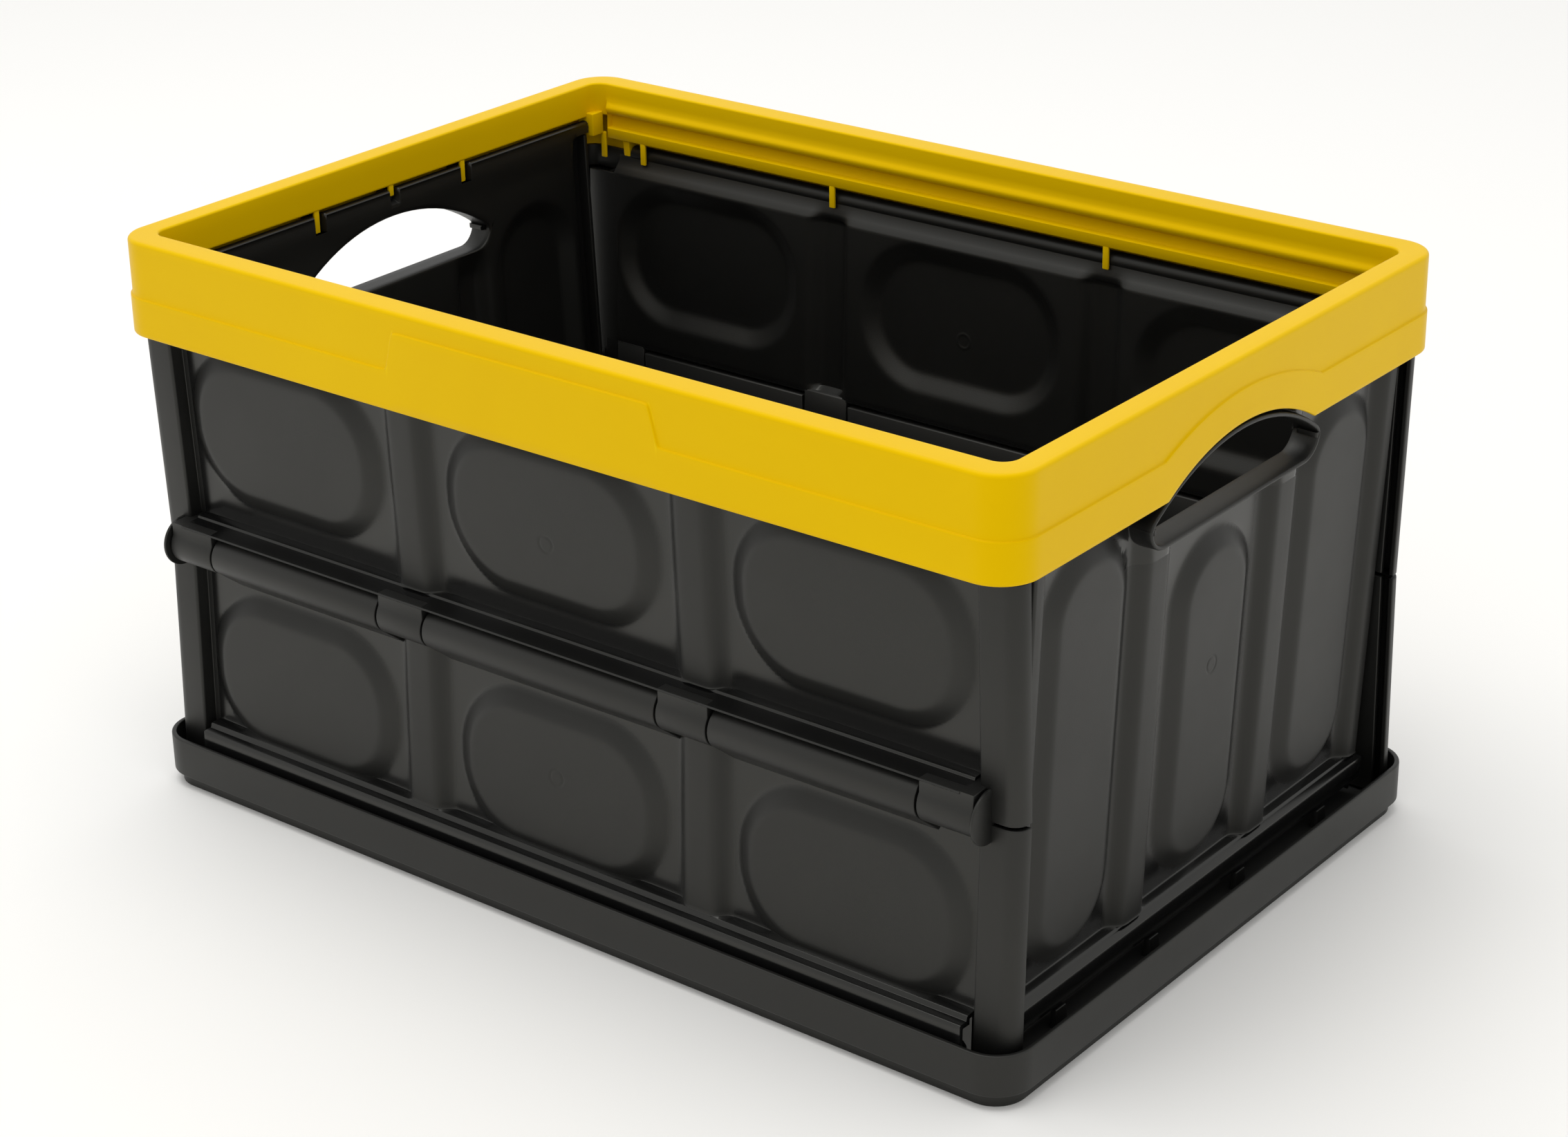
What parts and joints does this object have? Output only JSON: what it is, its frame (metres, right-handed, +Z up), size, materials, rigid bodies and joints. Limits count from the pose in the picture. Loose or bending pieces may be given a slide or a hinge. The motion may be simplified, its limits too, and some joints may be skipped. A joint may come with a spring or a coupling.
{
  "type": "folding storage crate",
  "caption": "Open-topped folding crate: rigid rim over a base tray, walls creased on hinge lines, end walls with grip openings that swing up inside.",
  "frame": {"origin": "centre of the footprint, level with the underside of the foot ring", "axes": "+X along the crate's length towards the right end wall, +Y towards the rear wall, +Z up"},
  "size_m": [0.54, 0.366, 0.3],
  "materials": {
    "yellow_plastic": "satin moulded",
    "black_plastic": "fine leather grain",
    "pin_plastic": "smooth moulded"
  },
  "bodies": {
    "carcass": {"top_rim": "yellow_plastic", "base_tray": "black_plastic", "front_upper_panel": "black_plastic", "front_lower_panel": "black_plastic", "rear_upper_panel": "black_plastic", "rear_lower_panel": "black_plastic", "front_left_fold_pin": "pin_plastic", "front_right_fold_pin": "pin_plastic", "rear_left_fold_pin": "pin_plastic", "rear_right_fold_pin": "pin_plastic", "front_left_rim_pin": "pin_plastic", "front_right_rim_pin": "pin_plastic", "rear_left_rim_pin": "pin_plastic", "rear_right_rim_pin": "pin_plastic", "front_left_base_pin": "pin_plastic", "front_right_base_pin": "pin_plastic", "rear_left_base_pin": "pin_plastic", "rear_right_base_pin": "pin_plastic"},
    "left_end": {"left_end_panel": "black_plastic", "left_front_end_pin": "pin_plastic", "left_rear_end_pin": "pin_plastic"},
    "right_end": {"right_end_panel": "black_plastic", "right_front_end_pin": "pin_plastic", "right_rear_end_pin": "pin_plastic"}
  },
  "joints": [
    {"name": "left_end_hinge", "type": "hinge", "parent": "carcass", "child": "left_end", "pos_m": [-0.2552, 0, 0.276], "axis": [0, -1, 0], "range_deg": [0, 87]},
    {"name": "right_end_hinge", "type": "hinge", "parent": "carcass", "child": "right_end", "pos_m": [0.2552, 0, 0.276], "axis": [0, 1, 0], "range_deg": [0, 83]}
  ]
}
